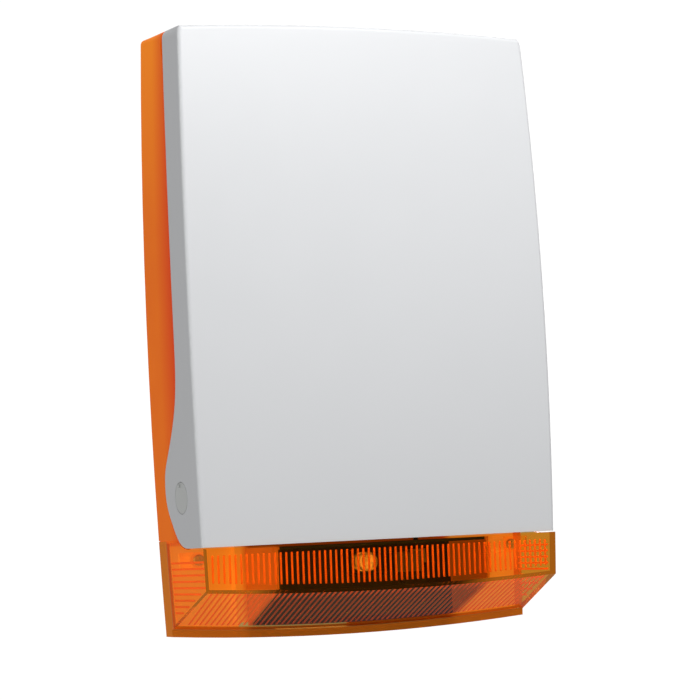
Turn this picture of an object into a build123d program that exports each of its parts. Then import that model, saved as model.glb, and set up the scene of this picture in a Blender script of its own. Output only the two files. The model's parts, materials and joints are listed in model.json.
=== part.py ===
from build123d import *
import math
import os

# Outdoor alarm siren with a flasher, for a wall.  Millimetres.
# +X is right, -Y is towards the viewer, +Z is up.  The origin is on the wall face, at the centre
# of the four wall screws.  The wall is the plane Y = 0.

os.makedirs("parts", exist_ok=True)

# ---------------------------------------------------------------- driving dimensions
# Closed casing: half-widths on the wall plane, heights, and the curved front.
HALF_WIDTH = 99.9
TOP_HALF_WIDTH = 96.8
BOTTOM_HALF_WIDTH = 96.2
TOP_Z = 151.2
TOP_CROWN = 2.7
BOTTOM_Z = -150.0
BOTTOM_BOW = 4.0
SIDE_DRAFT = 4.8
TOP_CORNER_R = 3.0
FRONT_EDGE_R = 2.2
FRONT_DEPTH = 58.3
FRONT_DEPTH_Z = -29.0
FRONT_RADIUS = 2555.0
FRONT_CROWN = 2.0
FRONT_CROWN_X = 95.0
WALL = 2.5
GAP = 0.5

# Front cover edge, in side view (Y, Z).
COVER_BOTTOM_Z = -107.2
COVER_EDGE_TOP_Y = -28.6
COVER_EDGE_UPPER_Y = -34.5
COVER_EDGE_MID_Y = -35.7
EAR_Y = -13.6
EAR_Z = -79.0

# Lens.
LENS_TOP_Z = -102.7
LENS_PROUD = 1.4
LENS_EDGE_Y = -58.0
LENS_EDGE_Z = -131.7
SLOPE_ANGLE = 21.0
REAR_BORDER_Y = -8.4
LENS_BOSSES = [(-84.0, -113.0), (84.0, -113.0)]
LENS_BOSS_Y = -20.0

# Back tray and its sound channel: a chamber behind the speaker and a duct down to the bottom edge.
PLATE = 3.0
CHAMBER_X = (-78.0, 2.0)
CHAMBER_Z = (4.0, 84.0)
DUCT_X = (-62.0, 2.0)
DUCT_BOTTOM_Z = -144.0
CHANNEL_DEPTH = 6.5
CHANNEL_WALL = 2.5
CHANNEL_FRONT_Y = -(CHANNEL_DEPTH + CHANNEL_WALL)
SOUND_SLOTS = 7
SOUND_SLOT = 4.6
SOUND_SLOT_PITCH = 9.0

# Wall screws and cable entry.
WALL_SCREW_X = 144.0
WALL_SCREW_Z = 176.0
WALL_HOLE_R = 2.75
CABLE_POINT = (36.0, 108.0)
CABLE_HOLE_R = 9.0
CABLE_BORE_R = 5.0

# Hinge of the front cover.
HINGE_Y = -38.0
HINGE_Z = 142.0
HINGE_PIN_R = 1.5
HINGE_KNUCKLE_R = 3.2
HINGE_ROLL_R = 10.4
HINGE_X = 62.0
LUG_HALF = 3.0
CHEEK = 3.9

# Side screws of the front cover, under round caps.
EAR_SCREW_Y = -33.5
EAR_SCREW_Z = -82.7
CAP_R = 7.6
POCKET_R = 7.9
POCKET_FLOOR_X = 89.0
CUP_INNER_X = 87.0
FORK_X = 82.9
FORK_T = 3.8
CLAMP_SHANK_R = 1.9

# Battery, 12 V 2.1 Ah block.
BATTERY_SIZE = (178.0, 34.0, 60.0)
BATTERY_BACK_Y = -9.3
BATTERY_TOP_Z = -6.0
BATTERY_FRONT_Y = BATTERY_BACK_Y - BATTERY_SIZE[1]
BATTERY_BOTTOM_Z = BATTERY_TOP_Z - BATTERY_SIZE[2]

# Inner steel cover.
STEEL_T = 1.0
STEEL_Y = -44.6
STEEL_X = 89.0
STEEL_Z = (-74.0, 126.0)
STEEL_POSTS = [(-84.0, 117.0), (84.0, 117.0), (-60.0, -70.5), (60.0, -70.5)]
POST_R = 3.6
SOUND_HOLE_R = 2.2
SOUND_HOLE_PITCH = 6.5

# Circuit board.
BOARD_X = (16.0, 88.0)
BOARD_Z = (4.0, 78.0)
BOARD_Y = -9.5
BOARD_T = 1.6
BOARD_FRONT_Y = BOARD_Y - BOARD_T
BOARD_HOLE_INSET = 4.0
LED_POINT = (40.0, 48.0)

# Horn speaker.
HORN_X = -38.0
HORN_Z = 44.0
HORN_MOUTH_R = 35.0
HORN_FLANGE = 78.0
HORN_FLANGE_T = 2.5
HORN_THROAT_R = 7.0
HORN_THROAT_Y = -27.0
DRIVER_R = 24.0
DRIVER_FRONT_Y = -43.0

# Flasher.
FLASH_HALF = 56.5
FLASH_TOP_Z = -108.4
FLASH_WALL = 1.5
LAMP_Z = -118.0
LAMP_R = 4.8

# Tamper switch, above the circuit board.
TAMPER_X = 66.0
TAMPER_Z = 104.0
TAMPER_PAD_Y = -9.0
TAMPER_BODY = 16.0
TAMPER_TIP_Y = -50.9


# ---------------------------------------------------------------- shared shapes
def yz_plane(x):
    """Sketch plane across X: local x runs along +Y and local y along +Z, its normal is +X."""
    return Plane(origin=(x, 0, 0), x_dir=(0, 1, 0), z_dir=(1, 0, 0))


def front_plane(y):
    """Sketch plane facing the viewer at a given Y: local x is X and local y is Z."""
    return Plane(origin=(0, y, 0), x_dir=(1, 0, 0), z_dir=(0, -1, 0))


def casing_form(inset, proud=0.0):
    """The closed casing as one solid, moved in by inset on every face and out by proud in front."""
    top = TOP_Z - inset
    low = BOTTOM_Z - 2 * BOTTOM_BOW
    depth = FRONT_DEPTH - inset + proud
    half_chord = 120
    edge_depth = depth - FRONT_CROWN * (half_chord / FRONT_CROWN_X) ** 2
    swing = 6
    start = Plane(origin=(0, FRONT_RADIUS - depth, FRONT_DEPTH_Z), x_dir=(1, 0, 0),
                  z_dir=(0, math.sin(math.radians(swing)), math.cos(math.radians(swing))))
    with BuildPart() as form:
        with BuildSketch(front_plane(0)) as outline:
            with BuildLine():
                right = ThreePointArc((BOTTOM_HALF_WIDTH - inset, BOTTOM_Z), (HALF_WIDTH - inset, 0),
                                      (TOP_HALF_WIDTH - inset, top))
                crown = ThreePointArc(right @ 1, (0, top + TOP_CROWN), (-(right @ 1).X, top))
                left = ThreePointArc(crown @ 1, (-(HALF_WIDTH - inset), 0), (-(right @ 0).X, BOTTOM_Z))
                Polyline(left @ 1, ((left @ 1).X, low), ((right @ 0).X, low), right @ 0)
            make_face()
            fillet(outline.vertices().group_by(Axis.Z)[-1], radius=TOP_CORNER_R)
        extrude(amount=80, taper=SIDE_DRAFT)
        with BuildSketch(start):
            with BuildLine():
                front = ThreePointArc((-half_chord, depth - edge_depth - FRONT_RADIUS), (0, -FRONT_RADIUS),
                                      (half_chord, depth - edge_depth - FRONT_RADIUS))
                Polyline(front @ 1, (half_chord, 100 - FRONT_RADIUS), (-half_chord, 100 - FRONT_RADIUS),
                         front @ 0)
            make_face()
        revolve(axis=Axis((0, FRONT_RADIUS - depth, FRONT_DEPTH_Z), (1, 0, 0)), revolution_arc=2 * swing,
                mode=Mode.INTERSECT)
    return form.part


def cover_side(shift):
    """Everything in front of the front cover's rear edge, with that edge moved by shift."""
    with BuildPart() as side:
        with BuildSketch(yz_plane(-120)):
            with BuildLine():
                top = ThreePointArc((COVER_EDGE_TOP_Y + shift, TOP_Z + 6), (COVER_EDGE_UPPER_Y + shift, 55),
                                    (COVER_EDGE_MID_Y + shift, -8))
                waist = Spline(top @ 1, (-31.2 + shift, -41), (-18.6 + shift, -63), (EAR_Y + shift, EAR_Z),
                               tangents=[(0, -1), (0, -1)])
                ear = Spline(waist @ 1, (-19.8 + 0.8 * shift, -95 - 0.6 * shift),
                             (-38.2, COVER_BOTTOM_Z - shift), tangents=[(0, -1), (-1, 0)])
                Polyline(ear @ 1, (-90, COVER_BOTTOM_Z - shift), (-90, TOP_Z + 6), top @ 0)
            make_face()
        extrude(amount=240)
    return side.part


def lens_side(inset):
    """Everything above the lens's sloping underside and its bowed bottom border, moved in by inset."""
    angle = math.radians(SLOPE_ANGLE)
    slope = Vector(0, math.cos(angle), -math.sin(angle))
    half_chord = 120
    rise = BOTTOM_BOW * (half_chord / BOTTOM_HALF_WIDTH) ** 2
    start_y = -70
    start_z = LENS_EDGE_Z + (LENS_EDGE_Y - start_y) * math.tan(angle) + inset / math.cos(angle)
    border_y = REAR_BORDER_Y + inset
    border_z = BOTTOM_Z - BOTTOM_BOW + inset
    with BuildPart() as side:
        with BuildSketch(front_plane(start_y)):
            with BuildLine():
                bow = ThreePointArc((-half_chord, start_z + rise), (0, start_z), (half_chord, start_z + rise))
                Polyline(bow @ 1, (half_chord, 0), (-half_chord, 0), bow @ 0)
            make_face()
        extrude(amount=(border_y - start_y) / slope.Y, dir=slope)
        with BuildSketch(front_plane(1)):
            with BuildLine():
                bow = ThreePointArc((-half_chord, border_z + rise), (0, border_z), (half_chord, border_z + rise))
                Polyline(bow @ 1, (half_chord, -50), (-half_chord, -50), bow @ 0)
            make_face()
        extrude(amount=1 - border_y)
    return side.part


def block(x, y, z):
    """A plain box between two values on each axis."""
    with BuildPart() as box:
        with BuildSketch(Plane.XY.offset(min(z))):
            with Locations((sum(x) / 2, sum(y) / 2)):
                Rectangle(max(x) - min(x), max(y) - min(y))
        extrude(amount=max(z) - min(z))
    return box.part


def lead(points, diameter, name):
    """A wire along straight runs with large arcs between them."""
    radii = []
    for before, corner, after in zip(points, points[1:], points[2:]):
        run_in = Vector(*corner) - Vector(*before)
        run_out = Vector(*after) - Vector(*corner)
        turn = math.radians(run_in.get_angle(run_out))
        radii.append(0.45 * min(run_in.length, run_out.length) / math.tan(turn / 2))
    print(name, "arc radii", [round(radius, 1) for radius in radii])
    with BuildPart() as wire:
        with BuildLine() as path:
            FilletPolyline(*points, radius=radii)
        with BuildSketch(Plane(origin=path.line @ 0, z_dir=path.line % 0)):
            Circle(diameter / 2)
        sweep()
    return wire.part


def finish(part, label):
    """Label a finished piece and write it out."""
    part.label = label
    export_step(part, f"parts/{label}.step")


OUTER = casing_form(0)
INNER = casing_form(WALL)


# ---------------------------------------------------------------- back tray
BOARD_HOLES = [(x, z) for x in (BOARD_X[0] + BOARD_HOLE_INSET, BOARD_X[1] - BOARD_HOLE_INSET)
               for z in (BOARD_Z[0] + BOARD_HOLE_INSET, BOARD_Z[1] - BOARD_HOLE_INSET)]
FORK_SLOT_R = CLAMP_SHANK_R + 0.4
FLOOR_ROOT_Y = -PLATE + 0.5

tray_walls = casing_form(0)
tray_inside = casing_form(WALL)
floor_form = casing_form(WALL + 0.3)
floor_slab = block((-120, 120), (-PLATE, 0), (-180, 160))
upper_slab = block((-120, 120), (-PLATE, 0), (LENS_TOP_Z, 160))
cover_room = cover_side(GAP)
below_tray = block((-120, 120), (-90, 1), (-180, LENS_TOP_Z))
chamber_body = block(CHAMBER_X, (CHANNEL_FRONT_Y, -1), CHAMBER_Z)
chamber_hollow = block((CHAMBER_X[0] + CHANNEL_WALL, CHAMBER_X[1] - CHANNEL_WALL), (-CHANNEL_DEPTH, 1),
                       (CHAMBER_Z[0] + CHANNEL_WALL, CHAMBER_Z[1] - CHANNEL_WALL))
duct_body = block(DUCT_X, (CHANNEL_FRONT_Y, -1), (DUCT_BOTTOM_Z, CHAMBER_Z[0] + 1))
duct_hollow = block((DUCT_X[0] + CHANNEL_WALL, DUCT_X[1] - CHANNEL_WALL), (-CHANNEL_DEPTH, 1),
                    (-180, CHAMBER_Z[0] + 2 * CHANNEL_WALL))

lens_room = lens_side(WALL + 0.3)
lip_form = casing_form(WALL / 2)
lip_zone = block((-120, 120), (HINGE_Y, COVER_EDGE_TOP_Y + 2), (HINGE_Z, 160))

# a thin inner half of the top wall reaches forward, so that no rain falls through the seam above the hinge
with BuildPart() as rain_lip:
    add(lip_form)
    add(lip_zone, mode=Mode.INTERSECT)
    add(tray_inside, mode=Mode.SUBTRACT)

with BuildPart() as floor_plate:
    add(floor_form)
    add(floor_slab, mode=Mode.INTERSECT)
    add(lens_room, mode=Mode.INTERSECT)

with BuildPart() as upper_floor:
    add(tray_walls)
    add(upper_slab, mode=Mode.INTERSECT)

with BuildPart() as base_tray:
    add(tray_walls)
    add(tray_inside, mode=Mode.SUBTRACT)
    add(cover_room, mode=Mode.SUBTRACT)
    add(below_tray, mode=Mode.SUBTRACT)
    add(floor_plate.part)
    add(upper_floor.part)
    add(rain_lip.part)
    add(chamber_body)
    add(duct_body)
    # room for the front cover's rolled top edge
    with BuildSketch(yz_plane(-120)):
        with Locations((HINGE_Y, HINGE_Z)):
            Circle(HINGE_ROLL_R + 0.4)
    extrude(amount=240, mode=Mode.SUBTRACT)
    # posts for the steel cover, and board standoffs
    with BuildSketch(front_plane(FLOOR_ROOT_Y)):
        with Locations(*STEEL_POSTS):
            Circle(POST_R)
    extrude(amount=FLOOR_ROOT_Y - STEEL_Y)
    with BuildSketch(front_plane(FLOOR_ROOT_Y)):
        with Locations(*BOARD_HOLES):
            Circle(3.2)
    extrude(amount=FLOOR_ROOT_Y - BOARD_Y)
    # lens bosses, beside the flasher
    with BuildSketch(front_plane(FLOOR_ROOT_Y)):
        with Locations(*LENS_BOSSES):
            Circle(POST_R)
    extrude(amount=FLOOR_ROOT_Y - LENS_BOSS_Y)
    # pad under the tamper switch
    with BuildSketch(front_plane(FLOOR_ROOT_Y)):
        with Locations((TAMPER_X, TAMPER_Z)):
            Rectangle(24, 12)
    extrude(amount=FLOOR_ROOT_Y - TAMPER_PAD_Y)
    # ledges under the battery
    with BuildSketch(front_plane(FLOOR_ROOT_Y)):
        with Locations((52, BATTERY_BOTTOM_Z - 1.2), (-84, BATTERY_BOTTOM_Z - 1.2)):
            Rectangle(10, 2)
    extrude(amount=30)
    # hinge lugs
    for side in (-1, 1):
        with BuildSketch(yz_plane(side * HINGE_X - LUG_HALF)):
            with BuildLine():
                nose = CenterArc((HINGE_Y, HINGE_Z), HINGE_KNUCKLE_R, 90, 180)
                Polyline(nose @ 1, (FLOOR_ROOT_Y, HINGE_Z - HINGE_KNUCKLE_R), (FLOOR_ROOT_Y, TOP_Z),
                         (-23, TOP_Z - 1.5), (-24.5, HINGE_Z + HINGE_KNUCKLE_R), nose @ 0)
            make_face()
            with Locations((HINGE_Y, HINGE_Z)):
                Circle(HINGE_PIN_R + 0.05, mode=Mode.SUBTRACT)
        extrude(amount=2 * LUG_HALF)
    # forks that the side screws clamp on, open to the front
    for side in (-1, 1):
        with BuildSketch(yz_plane(side * (FORK_X + FORK_T / 2) - FORK_T / 2)):
            with BuildLine():
                Polyline((FLOOR_ROOT_Y, EAR_SCREW_Z - 9), (EAR_SCREW_Y - 6, EAR_SCREW_Z - 7),
                         (EAR_SCREW_Y - 6, EAR_SCREW_Z + 7), (FLOOR_ROOT_Y, EAR_SCREW_Z + 9),
                         (FLOOR_ROOT_Y, EAR_SCREW_Z - 9))
            make_face()
            with Locations((EAR_SCREW_Y, EAR_SCREW_Z)):
                Circle(FORK_SLOT_R, mode=Mode.SUBTRACT)
            with Locations((EAR_SCREW_Y - 5, EAR_SCREW_Z)):
                Rectangle(10, 2 * FORK_SLOT_R, mode=Mode.SUBTRACT)
        extrude(amount=FORK_T)
    # sound channel, hollow from behind and open at the bottom edge, with slots cut to a circle
    add(chamber_hollow, mode=Mode.SUBTRACT)
    add(duct_hollow, mode=Mode.SUBTRACT)
    for index in range(SOUND_SLOTS):
        height = (index - (SOUND_SLOTS - 1) / 2) * SOUND_SLOT_PITCH
        half = math.sqrt((HORN_MOUTH_R - 3) ** 2 - height ** 2) - 1
        with BuildSketch(front_plane(1 - CHANNEL_DEPTH)):
            with Locations((HORN_X, HORN_Z + height)):
                SlotOverall(2 * half, SOUND_SLOT)
        extrude(amount=CHANNEL_WALL + 2, mode=Mode.SUBTRACT)
    # holes for the wall screws and the cable
    with BuildSketch(front_plane(2)):
        with GridLocations(WALL_SCREW_X, WALL_SCREW_Z, 2, 2):
            Circle(WALL_HOLE_R)
        with Locations(CABLE_POINT):
            Circle(CABLE_HOLE_R)
    extrude(amount=8, mode=Mode.SUBTRACT)
    # pilot holes
    for y, places, radius, depth in ((STEEL_Y, STEEL_POSTS, 1.2, 12), (BOARD_Y, BOARD_HOLES, 1.0, 5),
                                     (LENS_BOSS_Y, LENS_BOSSES, 1.2, 10)):
        with BuildSketch(front_plane(y - 1)):
            with Locations(*places):
                Circle(radius)
        extrude(amount=-depth - 1, mode=Mode.SUBTRACT)

finish(base_tray.part, "base_tray")


# ---------------------------------------------------------------- front cover
cover_outer = casing_form(0)
cover_inner = casing_form(WALL)
cover_front = cover_side(0)

with BuildPart() as cover_shell:
    add(cover_outer)
    front_edges = cover_shell.edges().filter_by(lambda edge: edge.center().Y < -40 and edge.center().Z > -120)
    fillet(front_edges, radius=FRONT_EDGE_R)
    add(cover_inner, mode=Mode.SUBTRACT)
    add(cover_front, mode=Mode.INTERSECT)

with BuildPart() as cover_fittings:
    # cheeks on both sides of each hinge lug
    for side in (-1, 1):
        for inner_face in (HINGE_X - LUG_HALF - 0.7 - CHEEK, HINGE_X + LUG_HALF + 0.7):
            with BuildSketch(yz_plane(side * (inner_face + CHEEK / 2) - CHEEK / 2)):
                with BuildLine():
                    nose = CenterArc((HINGE_Y, HINGE_Z), HINGE_KNUCKLE_R, 180, 180)
                    Polyline(nose @ 1, (HINGE_Y + HINGE_KNUCKLE_R, HINGE_Z + 6.5),
                             (HINGE_Y - HINGE_KNUCKLE_R, HINGE_Z + 6.5), nose @ 0)
                make_face()
                with Locations((HINGE_Y, HINGE_Z)):
                    Circle(HINGE_PIN_R, mode=Mode.SUBTRACT)
            extrude(amount=CHEEK)
    # cups for the side screws
    for side in (-1, 1):
        with BuildSketch(yz_plane(side * CUP_INNER_X)):
            with Locations((EAR_SCREW_Y, EAR_SCREW_Z)):
                Circle(POCKET_R + 1.8)
        extrude(amount=side * 10)
    add(cover_outer, mode=Mode.INTERSECT)

with BuildPart() as front_cover:
    add(cover_shell.part)
    add(cover_fittings.part)
    for side in (-1, 1):
        with BuildSketch(yz_plane(side * POCKET_FLOOR_X)):
            with Locations((EAR_SCREW_Y, EAR_SCREW_Z)):
                Circle(POCKET_R)
        extrude(amount=side * 12, mode=Mode.SUBTRACT)
        with BuildSketch(yz_plane(side * (CUP_INNER_X - 1))):
            with Locations((EAR_SCREW_Y, EAR_SCREW_Z)):
                Circle(CLAMP_SHANK_R + 0.1)
        extrude(amount=side * 4, mode=Mode.SUBTRACT)
        # notch that lets the cover swing past the hinge lug
        with BuildSketch(Plane.XY.offset(HINGE_Z + 0.1)):
            with Locations((side * HINGE_X, HINGE_Y + 4)):
                Rectangle(2 * LUG_HALF + 1.4, 17.5)
        extrude(amount=14, mode=Mode.SUBTRACT)
    # the top edge is rolled about the hinge
    with BuildSketch(yz_plane(-120)):
        with Locations((HINGE_Y + 15, HINGE_Z + 15)):
            Rectangle(30, 30)
        with Locations((HINGE_Y, HINGE_Z)):
            Circle(HINGE_ROLL_R, mode=Mode.SUBTRACT)
    extrude(amount=240, mode=Mode.SUBTRACT)

finish(front_cover.part, "front_cover")

with BuildPart() as hinge_pins:
    pin_length = 2 * (LUG_HALF + 0.7 + CHEEK)
    for side in (-1, 1):
        with BuildSketch(yz_plane(side * HINGE_X - pin_length / 2)):
            with Locations((HINGE_Y, HINGE_Z)):
                Circle(HINGE_PIN_R)
        extrude(amount=pin_length)
    chamfer(hinge_pins.edges().filter_by(GeomType.CIRCLE), length=0.3)
finish(hinge_pins.part, "hinge_pins")


# ---------------------------------------------------------------- side screws, nuts and caps
NUT_X = FORK_X - 0.4
for side, name in ((-1, "left"), (1, "right")):
    with BuildPart() as cover_screw:
        with BuildSketch(yz_plane(side * POCKET_FLOOR_X)):
            with Locations((EAR_SCREW_Y, EAR_SCREW_Z)):
                Circle(4.2)
        extrude(amount=side * 2.5)
        fillet(cover_screw.edges().group_by(SortBy.LENGTH)[-1].sort_by(Axis.X)[-1 if side > 0 else 0], radius=1.0)
        with BuildSketch(yz_plane(side * POCKET_FLOOR_X)):
            with Locations((EAR_SCREW_Y, EAR_SCREW_Z)):
                Circle(CLAMP_SHANK_R)
        extrude(amount=side * -11.5)
        with BuildSketch(yz_plane(side * (POCKET_FLOOR_X + 1.2))):
            with Locations((EAR_SCREW_Y, EAR_SCREW_Z)):
                Rectangle(5, 1)
                Rectangle(1, 5)
        extrude(amount=side * 3, mode=Mode.SUBTRACT)
    finish(cover_screw.part, f"cover_screw_{name}")

    with BuildPart() as screw_cap:
        with BuildSketch(yz_plane(side * (POCKET_FLOOR_X + 2.8))):
            with Locations((EAR_SCREW_Y, EAR_SCREW_Z)):
                Circle(CAP_R)
        extrude(amount=side * 12)
        add(cover_outer, mode=Mode.INTERSECT)
        with BuildSketch(yz_plane(side * (POCKET_FLOOR_X + 2.8))):
            with Locations((EAR_SCREW_Y, EAR_SCREW_Z)):
                Circle(CAP_R - 1.5)
        extrude(amount=side * 2.4, mode=Mode.SUBTRACT)
        with BuildSketch(yz_plane(side * (POCKET_FLOOR_X + 6.4))):
            with Locations((EAR_SCREW_Y, EAR_SCREW_Z + CAP_R - 1.6)):
                SlotOverall(5.0, 2.0)
        extrude(amount=side * 6, mode=Mode.SUBTRACT)
    finish(screw_cap.part, f"screw_cap_{name}")

with BuildPart() as clamp_nuts:
    for side in (-1, 1):
        with BuildSketch(yz_plane(side * NUT_X)):
            with Locations((EAR_SCREW_Y, EAR_SCREW_Z)):
                RectangleRounded(8, 8, 0.8)
                Circle(CLAMP_SHANK_R + 0.05, mode=Mode.SUBTRACT)
        extrude(amount=side * -3.6)
finish(clamp_nuts.part, "clamp_nuts")


# ---------------------------------------------------------------- lens
lens_outer_form = casing_form(0, LENS_PROUD)
lens_inner_form = casing_form(WALL, LENS_PROUD)
lens_outer_side = lens_side(0)
lens_inner_side = lens_side(WALL)
lens_below = block((-120, 120), (-90, 1), (-180, LENS_TOP_Z - 0.3))
lens_cover_room = cover_side(GAP + 0.1)
channel_mouth = block((DUCT_X[0] + CHANNEL_WALL, DUCT_X[1] - CHANNEL_WALL), (-CHANNEL_DEPTH, 1),
                      (-180, -120))

with BuildPart() as lens_hollow:
    add(lens_inner_form)
    add(lens_inner_side, mode=Mode.INTERSECT)

with BuildPart() as lens:
    add(lens_outer_form)
    add(lens_outer_side, mode=Mode.INTERSECT)
    add(lens_hollow.part, mode=Mode.SUBTRACT)
    add(lens_below, mode=Mode.INTERSECT)
    add(lens_cover_room, mode=Mode.SUBTRACT)
    # tabs that hold the lens down on its bosses
    for side in (-1, 1):
        with BuildSketch(front_plane(LENS_BOSS_Y)):
            with Locations((side * 88, LENS_BOSSES[0][1])):
                Rectangle(14, 8)
            with Locations(*LENS_BOSSES):
                Circle(1.6, mode=Mode.SUBTRACT)
        extrude(amount=2)
    add(channel_mouth, mode=Mode.SUBTRACT)
finish(lens.part, "lens")

with BuildPart() as lens_screws:
    for x, z in LENS_BOSSES:
        with BuildSketch(front_plane(LENS_BOSS_Y - 2)):
            with Locations((x, z)):
                Circle(2.8)
        extrude(amount=1.8)
    fillet(lens_screws.edges().group_by(Axis.Y)[0], radius=0.8)
    with BuildSketch(front_plane(LENS_BOSS_Y - 2)):
        with Locations(*LENS_BOSSES):
            Circle(1.2)
    extrude(amount=-11)
    with BuildSketch(front_plane(LENS_BOSS_Y - 2.8)):
        with Locations(*LENS_BOSSES):
            Rectangle(3.4, 0.7)
            Rectangle(0.7, 3.4)
    extrude(amount=3, mode=Mode.SUBTRACT)
finish(lens_screws.part, "lens_screws")


# ---------------------------------------------------------------- inner steel cover
with BuildPart() as inner_cover:
    with BuildSketch(front_plane(STEEL_Y)):
        with Locations((0, sum(STEEL_Z) / 2)):
            RectangleRounded(2 * STEEL_X, STEEL_Z[1] - STEEL_Z[0], 4)
    extrude(amount=STEEL_T)
    # short return flanges at the sides and the top
    for side in (-1, 1):
        with BuildSketch(front_plane(STEEL_Y + 5)):
            with Locations((side * (STEEL_X - STEEL_T / 2), 96), (side * (STEEL_X - STEEL_T / 2), 16)):
                Rectangle(STEEL_T, 22)
        extrude(amount=6)
    with BuildSketch(front_plane(STEEL_Y + 5)):
        with Locations((0, STEEL_Z[1] - STEEL_T / 2)):
            Rectangle(140, STEEL_T)
    extrude(amount=6)
    # sound perforations in front of the speaker, and a window over the board's lamp
    with BuildSketch(front_plane(STEEL_Y + 1)):
        with Locations((HORN_X, HORN_Z)):
            Circle(SOUND_HOLE_R)
            for ring in (1, 2, 3):
                with PolarLocations(SOUND_HOLE_PITCH * ring, 6 * ring):
                    Circle(SOUND_HOLE_R)
        with Locations(LED_POINT):
            Circle(4)
        with Locations(*STEEL_POSTS):
            Circle(1.7)
    extrude(amount=4, mode=Mode.SUBTRACT)
    # opening for the tamper plunger
    with BuildSketch(front_plane(STEEL_Y + 1)):
        with Locations((TAMPER_X, TAMPER_Z)):
            RectangleRounded(12, 12, 2)
    extrude(amount=4, mode=Mode.SUBTRACT)
finish(inner_cover.part, "inner_cover")

with BuildPart() as inner_cover_screws:
    with BuildSketch(front_plane(STEEL_Y - STEEL_T)):
        with Locations(*STEEL_POSTS):
            Circle(2.7)
    extrude(amount=1.5)
    fillet(inner_cover_screws.edges().group_by(Axis.Y)[0], radius=0.6)
    with BuildSketch(front_plane(STEEL_Y - STEEL_T)):
        with Locations(*STEEL_POSTS):
            Circle(1.2)
    extrude(amount=-11)
    with BuildSketch(front_plane(STEEL_Y - STEEL_T - 0.7)):
        with Locations(*STEEL_POSTS):
            Rectangle(3.2, 0.6)
            Rectangle(0.6, 3.2)
    extrude(amount=3, mode=Mode.SUBTRACT)
finish(inner_cover_screws.part, "inner_cover_screws")


# ---------------------------------------------------------------- battery
BATTERY_MID_Y = BATTERY_BACK_Y - BATTERY_SIZE[1] / 2
TAB_PLACES = {"red": -66.0, "black": -80.0}

with BuildPart() as battery:
    with BuildSketch(Plane.XY.offset(BATTERY_BOTTOM_Z)):
        with Locations((0, BATTERY_MID_Y)):
            RectangleRounded(BATTERY_SIZE[0], BATTERY_SIZE[1], 2)
    extrude(amount=BATTERY_SIZE[2])
    # lid joint and the recess around the terminals
    with BuildSketch(Plane.XY.offset(BATTERY_TOP_Z - 9)):
        with Locations((0, BATTERY_MID_Y)):
            RectangleRounded(BATTERY_SIZE[0] + 2, BATTERY_SIZE[1] + 2, 3)
            RectangleRounded(BATTERY_SIZE[0] - 1.2, BATTERY_SIZE[1] - 1.2, 1.6, mode=Mode.SUBTRACT)
    extrude(amount=0.8, mode=Mode.SUBTRACT)
    with BuildSketch(Plane.XY.offset(BATTERY_TOP_Z)):
        with Locations(((sum(TAB_PLACES.values())) / 2, BATTERY_MID_Y)):
            RectangleRounded(26, 14, 1.5)
    extrude(amount=-3, mode=Mode.SUBTRACT)
    fillet(battery.faces().sort_by(Axis.Z)[-1].outer_wire().edges(), radius=1.0)
finish(battery.part, "battery")

for colour, x in TAB_PLACES.items():
    with BuildPart() as battery_tab:
        with BuildSketch(Plane.XY.offset(BATTERY_TOP_Z - 3)):
            with Locations((x, BATTERY_MID_Y)):
                Rectangle(4.75, 0.8)
        extrude(amount=8.5)
        with BuildSketch(front_plane(BATTERY_MID_Y - 2)):
            with Locations((x, BATTERY_TOP_Z + 2)):
                Circle(0.7)
        extrude(amount=-4, mode=Mode.SUBTRACT)
    finish(battery_tab.part, f"battery_tab_{colour}")

# receptacles pushed on the tabs, which the battery leads leave upwards
RECEPTACLE_TOP_Z = BATTERY_TOP_Z + 13
for colour, x in TAB_PLACES.items():
    with BuildPart() as receptacle:
        with BuildSketch(Plane.XY.offset(BATTERY_TOP_Z + 0.4)):
            with Locations((x, BATTERY_MID_Y)):
                RectangleRounded(7, 3.6, 1)
        extrude(amount=RECEPTACLE_TOP_Z - BATTERY_TOP_Z - 0.4)
        with BuildSketch(Plane.XY.offset(BATTERY_TOP_Z + 0.3)):
            with Locations((x, BATTERY_MID_Y)):
                Rectangle(4.85, 0.9)
        extrude(amount=5.7, mode=Mode.SUBTRACT)
    finish(receptacle.part, f"receptacle_{colour}")

with BuildPart() as battery_strap:
    with BuildSketch(yz_plane(60)):
        with BuildLine():
            Polyline((BATTERY_FRONT_Y - 0.15, BATTERY_BOTTOM_Z - 0.2), (BATTERY_FRONT_Y - 0.15, BATTERY_TOP_Z + 0.2),
                     (FLOOR_ROOT_Y - 0.5, BATTERY_TOP_Z + 0.2), (FLOOR_ROOT_Y - 0.5, BATTERY_TOP_Z + 6))
            offset(amount=0.6, side=Side.LEFT)
        make_face()
    extrude(amount=12)
finish(battery_strap.part, "battery_strap")


# ---------------------------------------------------------------- circuit board
with BuildPart() as circuit_board:
    with BuildSketch(front_plane(BOARD_Y)):
        with Locations((sum(BOARD_X) / 2, sum(BOARD_Z) / 2)):
            RectangleRounded(BOARD_X[1] - BOARD_X[0], BOARD_Z[1] - BOARD_Z[0], 2)
        with Locations(*BOARD_HOLES):
            Circle(1.3, mode=Mode.SUBTRACT)
    extrude(amount=BOARD_T)
finish(circuit_board.part, "circuit_board")

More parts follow.
